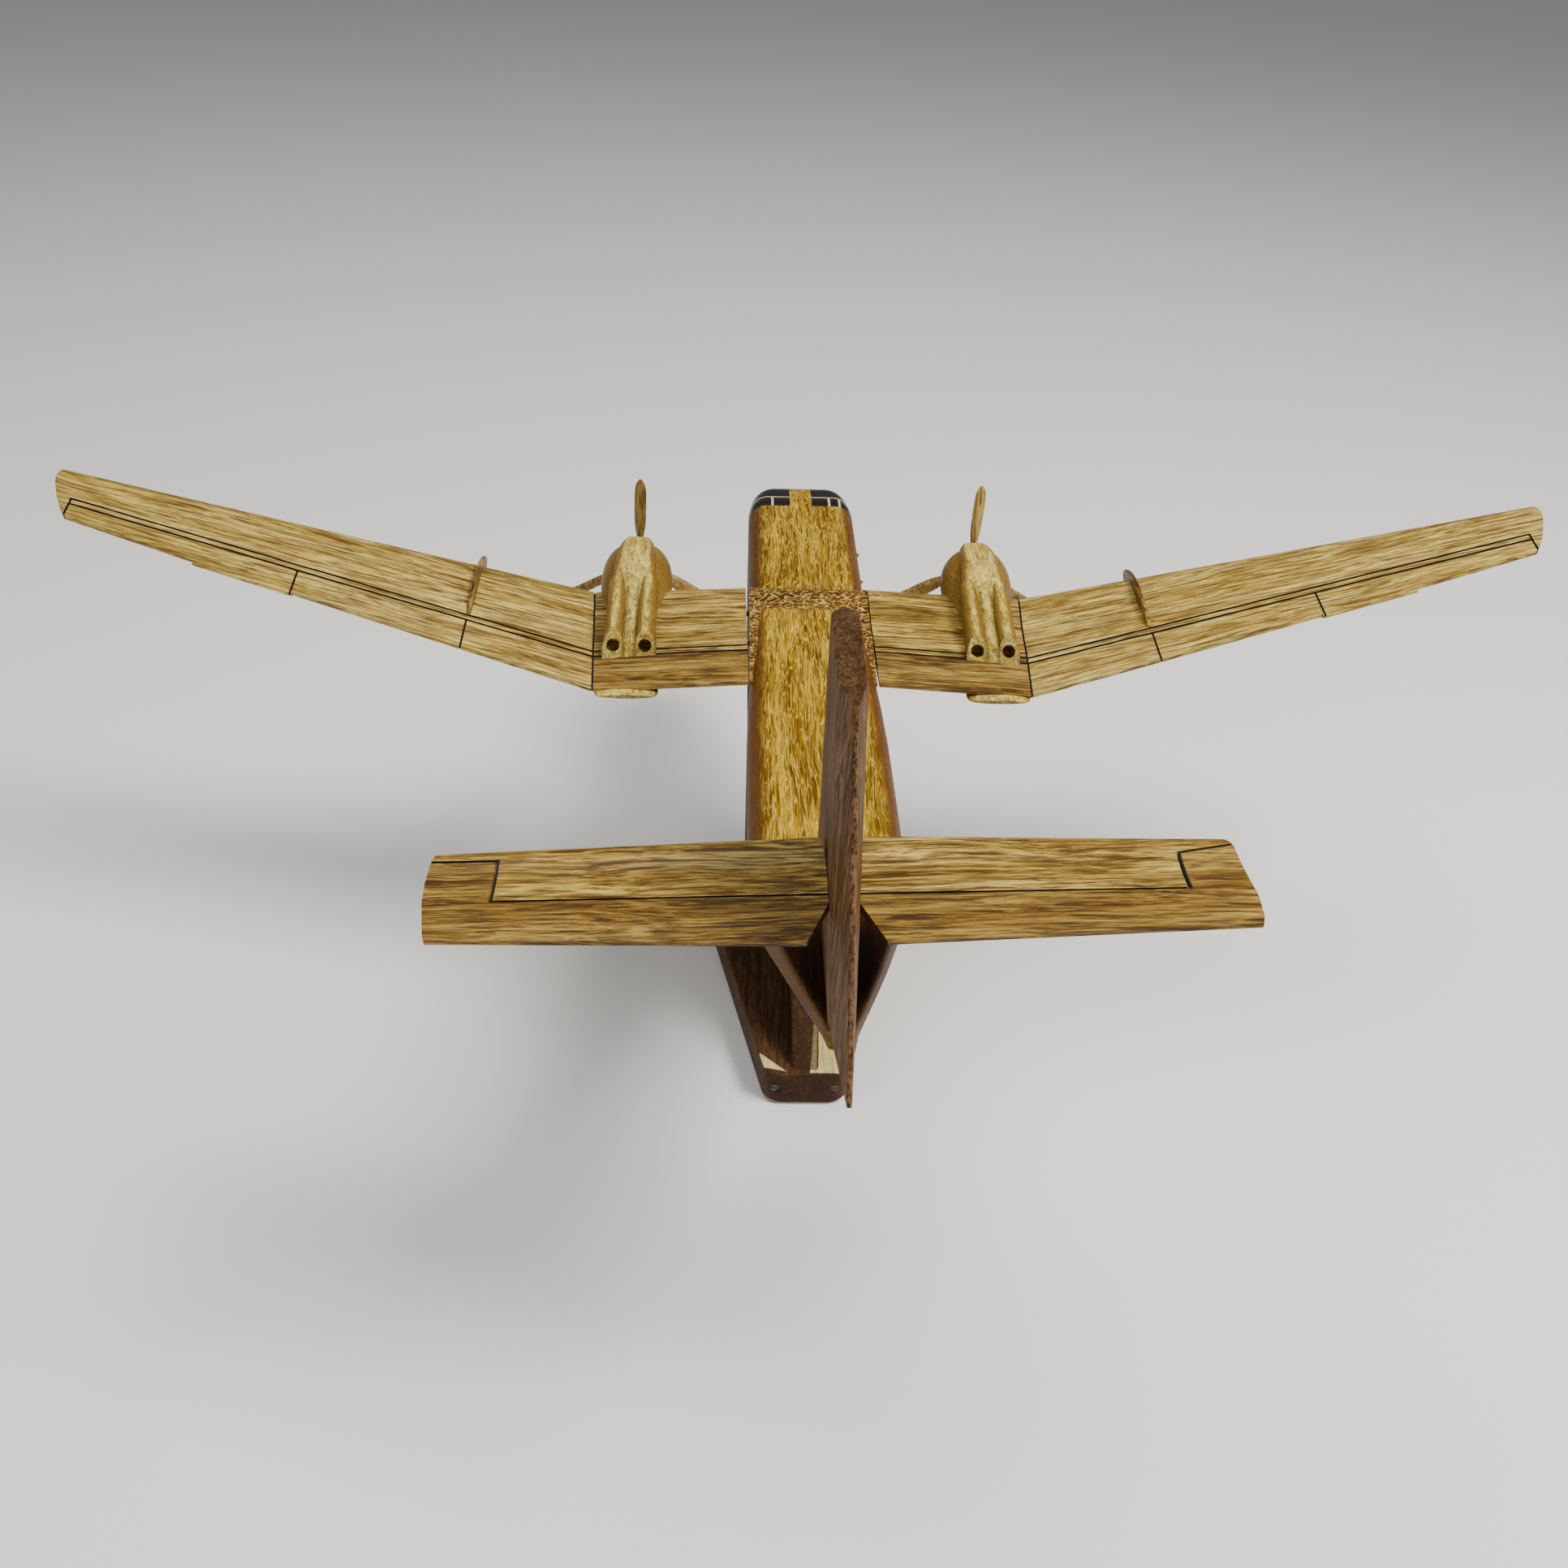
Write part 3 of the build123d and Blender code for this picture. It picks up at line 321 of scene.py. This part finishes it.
def lacquered_wood(name, tones, grain, ring_tilt, ring_gap=2.6, streaks=0.8, dashes=0.7, threads=None,
                   figure=0.5, edge=None, flank_shade=None, underside_shade=0.0, shade_and_light_patches=(), ink_lines=(), valley_shade=(),
                   rise=(0.0, 0.0), seed=0.0, relief_depth=0.04, roughness=0.45, coat=0.15, specular=0.18):
    """Wood under gloss lacquer. tones are its dark, middle and light colours; ring_tilt is the
    direction across the growth rings; threads is (along, across, width, share) of light figure,
    partly brightened as painted sheen; edge tints the faces that look forward and flank paints shade on
    those that look sideways; underside paints shade on the faces that don't look up; patches are plan
    outlines (points, colour) of painted shade and painted light on upward faces; furrows are soft dark
    lines of painted shade and ink_lines sharp ones; rise is the slope of the grain towards Y and Z as
    it runs outboard."""
    dark, _, light = tones
    shader = Shader(name)
    place = shader.place()
    facing = shader.facing()
    shifted, warped = grain_places(shader, place, grain, rise, seed)
    ring = growth_rings(shader, warped, grain, ring_tilt, ring_gap)
    masks = grain_masks(shader, warped, grain)
    cloud = shader.noise(stretched(shader, shifted, grain, *CLOUD_CELL), detail=2.0)

    colour = grain_colour(shader, warped, grain, tones, ring, masks, streaks, dashes)
    sunken = shader.math("MULTIPLY", masks["dark_streak"], -0.6)
    relief = shader.math("MULTIPLY_ADD", masks["pore"], -1.0, sunken)
    if threads:
        along, across, width, share = threads
        thread = squiggles(shader, warped, grain, along, across, width)
        # Light figure threads, brightened towards pale gold as painted sheen.
        figure_and_sheen = shader.blend(0.5, light, FIGURE_AND_SHEEN_GOLD)
        colour = shader.blend(shader.math("MULTIPLY", thread, share), colour, figure_and_sheen)
        relief = shader.math("MULTIPLY_ADD", thread, 1.5, relief)
    shade = shader.math("MULTIPLY_ADD", shader.math("SUBTRACT", cloud, 0.5), figure, 1.0)
    colour = shader.blend(1.0, colour, shader.point(shade, shade, shade), "MULTIPLY")
    colour = tinted_faces(shader, colour, facing, grain, dark, edge, flank_shade)
    # Painted shade and painted light on upward faces inside plan outlines.
    for points, tint in shade_and_light_patches:
        grained = shader.blend(shader.math("MULTIPLY", masks["dark_streak"], 0.35), tint, dark)
        colour = shader.blend(inside_mask(shader, place, facing, points), colour, grained)
    # Painted shade on the faces that don't look up.
    if underside_shade:
        below = shader.math("MULTIPLY", shader.ramp(shader.parts(facing)[2], 0.4, -0.1), underside_shade)
        colour = shader.blend(below, colour, dark)
    # Painted shade along the given lines, in the valleys.
    if valley_shade:
        furrow = shader.ramp(line_gap(shader, place, valley_shade), 0.5, -0.6)
        colour = shader.blend(shader.math("MULTIPLY", furrow, 0.75), colour, dark)
    if ink_lines:
        colour = shader.blend(shader.ramp(line_gap(shader, place, ink_lines), 0.05, -0.05), colour, INK)

    gloss = shader.noise(shader.vector("SCALE", place, 1 / GLOSS_CELL), detail=3.0)
    gloss = shader.math("MULTIPLY_ADD", shader.math("SUBTRACT", gloss, 0.5), 0.16, roughness)
    gloss = shader.math("MULTIPLY_ADD", masks["pore"], 0.10, gloss)
    relief = shader.math("MULTIPLY_ADD", cloud, 1.5, relief)
    shader.bump(relief, relief_depth * MM, 0.7)
    shader.set(specular=specular, coat=coat, coat_roughness=LACQUER_ROUGHNESS)
    return shader.finish(colour, gloss)


def inside_mask(shader, place, facing, points):
    """1 on upward faces inside a convex plan outline that runs anticlockwise, in millimetres."""
    x, y, _ = shader.parts(place)
    flat = shader.point(x, y, 0.0)
    inside = shader.ramp(shader.parts(facing)[2], 0.5, 0.8)
    for start, end in zip(points, points[1:] + points[:1]):
        run = Vector(end) - Vector(start)
        inward = Vector((-run.y, run.x)).normalized()
        depth = shader.vector("DOT_PRODUCT", shader.vector("SUBTRACT", flat, (*start, 0.0)), (*inward, 0.0))
        inside = shader.math("MULTIPLY", inside, shader.ramp(depth, -0.1, 0.3))
    return inside


def line_gap(shader, place, lines):
    """Distance in millimetres to the nearest line, given as (half width, plan polyline) with X counted
    from the middle; negative on the line."""
    x, y, _ = shader.parts(place)
    flat = shader.point(shader.math("ABSOLUTE", x), y, 0.0)
    nearest = None
    for half_width, points in lines:
        for start, end in zip(points, points[1:]):
            run = Vector(end) - Vector(start)
            offset = shader.vector("SUBTRACT", flat, (*start, 0.0))
            share = shader.vector("DOT_PRODUCT", offset, (*(run / run.length_squared), 0.0))
            share = shader.math("MULTIPLY", share, 1.0, clamp=True)
            foot = shader.vector("SCALE", (*run, 0.0), share)
            gap = shader.math("SUBTRACT", shader.vector("DISTANCE", offset, foot), half_width)
            nearest = gap if nearest is None else shader.math("MINIMUM", nearest, gap)
    return nearest


# ---------------------------------------------------------------- lines and outlines in plan
# Millimetres. The scribed lines, starboard sense, lie in the grooves of the CAD model.
CRANK_X = 59.5
CRANK_SLANT = 0.062
FLAP_SPLIT_X = 93.3
AILERON_X = 138.0
AHEAD_Y = 44.0
BEHIND_Y = -30.0
HINGE_Y = -142.5
ENGINE_X = 49.6
TUBE_EDGES = (-7.4, -1.5, 1.5, 7.4)  # sides of the exhaust tubes, from the middle of the nacelle


def crank(y):
    """Point where the wing turns up."""
    return (CRANK_X + CRANK_SLANT * y, y)


SLOT_FRONT = [(15.0, -0.5), crank(-1.0), (AILERON_X, 9.2), (198.0, 16.9)]
SLOT_REAR = [(15.0, -3.0), crank(-3.5), (AILERON_X, 6.7), (197.7, 14.3)]
# half width, polyline
WING_LINES = [
    (0.42, SLOT_FRONT),
    (0.42, SLOT_REAR),
    (0.26, [crank(AHEAD_Y), crank(BEHIND_Y)]),
    (0.28, [(FLAP_SPLIT_X, 0.9), (93.1, BEHIND_Y)]),
    (0.28, [(AILERON_X, 6.7), (137.2, BEHIND_Y)]),
    (0.30, [(198.0, 16.9), (197.7, 14.3), (197.5, 9.2)]),
]
TAIL_LINES = {
    "left": [(0.3, [(1.8, HINGE_Y), (65.6, HINGE_Y), (65.6, -131.0), (78.2, -131.0)])],
    "right": [(0.3, [(1.8, HINGE_Y), (64.4, HINGE_Y), (64.4, -132.2), (75.7, -130.2)])],
}
# Soft dark lines beside the exhaust tubes: painted shade in the valleys between them.
TUBE_VALLEY_SHADE = [(0.5, [(ENGINE_X + edge, 20.0), (ENGINE_X + edge, -6.0)]) for edge in TUBE_EDGES]
# Outlines of painted shade and painted light, anticlockwise: painted shade of the tailplane on the deck
# behind the fin, and painted sunlight on the base.
TAILPLANE_SHADE_OUTLINE = [(-20.0, -104.0), (-20.0, -170.0), (20.0, -170.0), (20.0, -104.0)]
# Painted sunlight: two lit wedges on the base top, outside the shadow of the tail.
SUNLIT_WEDGE_RIGHT = [(3.5, -43.1), (1.1, -63.7), (9.5, -63.7), (8.4, -50.0)]
SUNLIT_WEDGE_LEFT = [(-13.8, -54.6), (-13.4, -61.0), (-4.9, -63.3)]


# ---------------------------------------------------------------- tones: dark, middle, light
OLIVE = (rgb(0.050, 0.018, 0.001), rgb(0.31, 0.180, 0.018), rgb(0.62, 0.440, 0.105))
PALE = (rgb(0.080, 0.032, 0.002), rgb(0.43, 0.285, 0.040), rgb(0.68, 0.510, 0.140))
WARM = (rgb(0.036, 0.012, 0.001), rgb(0.20, 0.100, 0.009), rgb(0.42, 0.270, 0.055))
GOLDEN = (rgb(0.085, 0.032, 0.001), rgb(0.23, 0.118, 0.003), rgb(0.48, 0.310, 0.022))
FIGURED = (rgb(0.034, 0.009, 0.001), rgb(0.085, 0.028, 0.002), rgb(0.20, 0.085, 0.010))
TAN = (rgb(0.090, 0.042, 0.003), rgb(0.58, 0.410, 0.055), rgb(0.86, 0.670, 0.170))
# Dark reddish tones of the hull and fin, partly painted shade.
REDDISH = (rgb(0.018, 0.007, 0.002), rgb(0.14, 0.066, 0.026), rgb(0.24, 0.135, 0.065))
BLADE = (rgb(0.120, 0.060, 0.010), rgb(0.33, 0.205, 0.042), rgb(0.50, 0.340, 0.090))
PEG_RED = (rgb(0.080, 0.020, 0.004), rgb(0.30, 0.090, 0.018), rgb(0.45, 0.170, 0.040))
# Dark brown of the stand, partly painted shade.
BROWN = (rgb(0.026, 0.012, 0.005), rgb(0.076, 0.035, 0.014), rgb(0.12, 0.058, 0.026))
RED_EDGE = rgb(0.15, 0.045, 0.012)
# Painted shade on the side walls of the deck.
DECK_FLANK_SHADE = rgb(0.09, 0.028, 0.006)
# Painted sunlight on the base top.
SUNLIT_BASE_COLOUR = rgb(0.72, 0.58, 0.26)
PANEL_LOOK = {"streaks": 0.85, "dashes": 0.6, "figure": 0.45, "edge": RED_EDGE}
PANEL_RINGS = (0.0, 0.35, 0.94)
FLAP_RINGS = (0.0, 0.8, 0.6)
INNER_RISE = (0.0, -0.055)  # the inner wing droops slightly
PANEL_RISE = (0.07, 0.235)  # the outer wing climbs
FLAP_RISE = (0.12, 0.235)


# ---------------------------------------------------------------- painting
def paint(material, *names):
    """Give CAD nodes a material in place of their plain one."""
    for name in names:
        mesh = nodes[name].data
        mesh.materials.clear()
        mesh.materials.append(material)


def both(*names):
    """The port and starboard node of each name."""
    return [f"{side}_{name}" for side in SIDES for name in names]


def paint_wings():
    """Panels and slot strips in one cut of the wood, flaps and ailerons in another."""
    look = {"ink_lines": WING_LINES, **PANEL_LOOK}
    inner = lacquered_wood("inner_wing_wood", OLIVE, "X", PANEL_RINGS, rise=INNER_RISE, seed=0.055, **look)
    outer = lacquered_wood("outer_wing_wood", PALE, "X", PANEL_RINGS, rise=PANEL_RISE, seed=0.235, **look)
    look["ring_gap"] = 1.9
    inner_flap = lacquered_wood("inner_flap_wood", WARM, "X", FLAP_RINGS, rise=INNER_RISE, seed=11.0, **look)
    outer_flap = lacquered_wood("outer_flap_wood", PALE, "X", FLAP_RINGS, rise=FLAP_RISE, seed=12.0, **look)
    paint(inner, *both("inner_panel", "inner_slot_strip"))
    paint(outer, *both("outer_panel", "outer_slot_strip"))
    paint(inner_flap, *both("inner_flap"))
    paint(outer_flap, *both("mid_flap", "outer_flap", "aileron"))
    fence = lacquered_wood("fence_wood", WARM, "Y", (0.9, 0.0, 0.4), seed=7.0)
    paint(fence, *both("wing_fence"))


def paint_tail():
    """Tailplane like the wings, fin and rudder in duller reddish wood, darker partly as painted shade."""
    for side in SIDES:
        for part, tones in (("stabiliser", OLIVE), ("elevator", WARM)):
            wood = lacquered_wood(f"{side}_{part}_wood", tones, "X", (0.0, 0.5, 0.86), seed=1.0,
                                  ink_lines=TAIL_LINES[side], **PANEL_LOOK)
            paint(wood, f"{side}_{part}")
    fin = lacquered_wood("fin_wood", REDDISH, "Z", (0.9, 0.3, 0.0), streaks=0.5, seed=6.0,
                         roughness=0.6, coat=0.0, specular=0.06)
    paint(fin, "fin", "rudder")


def paint_fuselage():
    """Golden deck on a dark reddish hull, with a figured block between the wings; painted shade on the
    hull's dark sides and underside, on the deck's side walls and on the deck behind the fin.
    """
    # Painted shade of the tailplane on the deck behind the fin, and painted shade on the deck's side walls.
    deck = lacquered_wood("deck_wood", GOLDEN, "Y", (0.9, 0.0, 0.43), ring_gap=2.4, streaks=0.85,
                          dashes=0.6, threads=(11.0, 0.65, 0.05, 0.55), figure=0.8, flank_shade=DECK_FLANK_SHADE,
                          shade_and_light_patches=[(TAILPLANE_SHADE_OUTLINE, BROWN[0])], seed=2.0, coat=0.0, specular=0.07)
    # Hull darker on faces that don't look up: painted shade.
    hull = lacquered_wood("hull_wood", REDDISH, "Y", (0.3, 0.0, 0.95), streaks=0.7, underside_shade=0.9, seed=3.0,
                          roughness=0.6, coat=0.0, specular=0.05)
    saddle = lacquered_wood("saddle_wood", FIGURED, "X", (0.0, 0.7, 0.7), streaks=0.4, dashes=0.5,
                            threads=(1.9, 1.2, 0.06, 0.85), figure=0.9, relief_depth=0.08, seed=4.0,
                            coat=0.1, specular=0.12)
    peg = lacquered_wood("peg_wood", PEG_RED, "X", (0.0, 0.7, 0.7), seed=10.0)
    paint(deck, "front_deck", "aft_deck", "cockpit_centre_strip")
    paint(hull, "hull")
    paint(saddle, "wing_centre_block")
    paint(peg, "side_pegs")


def paint_engines():
    """Carved tan nacelles with painted shade on their flanks and beside the exhaust tubes, and olive
    propellers.
    """
    nacelle = lacquered_wood("nacelle_wood", TAN, "Y", (0.2, 0.1, 0.97), ring_gap=3.0, streaks=0.4,
                             dashes=0.5, threads=(1.2, 1.8, 0.045, 0.5), figure=0.8, flank_shade=WARM[1],
                             valley_shade=TUBE_VALLEY_SHADE, relief_depth=0.3, seed=5.0)
    propeller = lacquered_wood("propeller_wood", BLADE, "Z", (0.3, 0.9, 0.0), seed=8.0)
    paint(nacelle, *both("nacelle", "exhaust_fairing", "exhaust_tubes"))
    paint(propeller, *both("propeller_blades", "propeller_hub"))


def paint_stand():
    """Dark brown base and arm, partly painted shade, with two wedges of painted sunlight on the base top."""
    stand = lacquered_wood("stand_wood", BROWN, "Y", (0.8, 0.0, 0.6), ring_gap=4.0, streaks=0.5,
                           shade_and_light_patches=[(SUNLIT_WEDGE_RIGHT, SUNLIT_BASE_COLOUR), (SUNLIT_WEDGE_LEFT, SUNLIT_BASE_COLOUR)], seed=9.0,
                           roughness=0.55, coat=0.03, specular=0.08)
    paint(stand, "stand_base", "stand_arm")


# ---------------------------------------------------------------- other materials
def plain_gloss(name, colour, roughness):
    """Painted gloss with faint brush marks and dust."""
    shader = Shader(name)
    place = shader.place()
    dust = shader.ramp(shader.noise(shader.vector("SCALE", place, 1 / 0.5), detail=2.0), 0.62, 0.75)
    brush = shader.noise(stretched(shader, place, "Y", 8.0, 0.5), detail=2.0)
    tint = shader.blend(shader.math("MULTIPLY", dust, 0.06), colour, rgb(0.5, 0.48, 0.44))
    shader.bump(brush, 0.02 * MM, 0.4)
    shader.set(specular=0.2, coat=0.1, coat_roughness=0.1)
    return shader.finish(tint, shader.math("MULTIPLY_ADD", brush, 0.1, roughness))


def metal(name, colour, roughness):
    """Turned metal with fine tool marks and a little tarnish."""
    shader = Shader(name)
    place = shader.place()
    marks = shader.noise(stretched(shader, place, "Z", 0.08, 2.0), detail=2.0)
    tarnish = shader.ramp(shader.noise(shader.vector("SCALE", place, 1 / 2.5), detail=3.0), 0.45, 0.75)
    dull = rgb(*[part * 0.35 for part in colour[:3]])
    tint = shader.blend(shader.math("MULTIPLY", tarnish, 0.45), colour, dull)
    shader.bump(marks, 0.01 * MM, 0.5)
    shader.set(metallic=1.0)
    return shader.finish(tint, shader.math("MULTIPLY_ADD", tarnish, 0.25, roughness))


def felt():
    """Dark green felt, fuzzy and matt."""
    shader = Shader("felt")
    place = shader.place()
    fibre = shader.noise(shader.vector("SCALE", place, 1 / 0.12), detail=3.0, rough=0.7)
    patch = shader.noise(shader.vector("SCALE", place, 1 / 6.0), detail=2.0)
    colour = shader.blend(fibre, rgb(0.006, 0.012, 0.008), rgb(0.03, 0.055, 0.035))
    colour = shader.blend(shader.math("MULTIPLY", patch, 0.3), colour, rgb(0.02, 0.03, 0.02))
    shader.bump(fibre, 0.15 * MM, 0.8)
    shader.set(sheen=0.5)
    return shader.finish(colour, 0.95)


def paint_details():
    """Glazing, brass peg, steel pins and screws, and the felt."""
    paint(plain_gloss("window_black", rgb(0.005, 0.003, 0.003), 0.25), "cockpit_panes")
    paint(plain_gloss("frame_cream", rgb(0.62, 0.50, 0.28), 0.3), "window_frames")
    paint(metal("brass", rgb(0.78, 0.55, 0.22), 0.22), "stand_peg", "peg_socket")
    steel = metal("steel", rgb(0.09, 0.085, 0.08), 0.4)
    paint(steel, "base_screws", "tail_pins", *both("propeller_shaft", "shaft_washer", "wing_dowels"))
    paint(felt(), "felt_pad")


aim_camera()
lay_floor()
light_studio()
paint_wings()
paint_tail()
paint_fuselage()
paint_engines()
paint_stand()
paint_details()
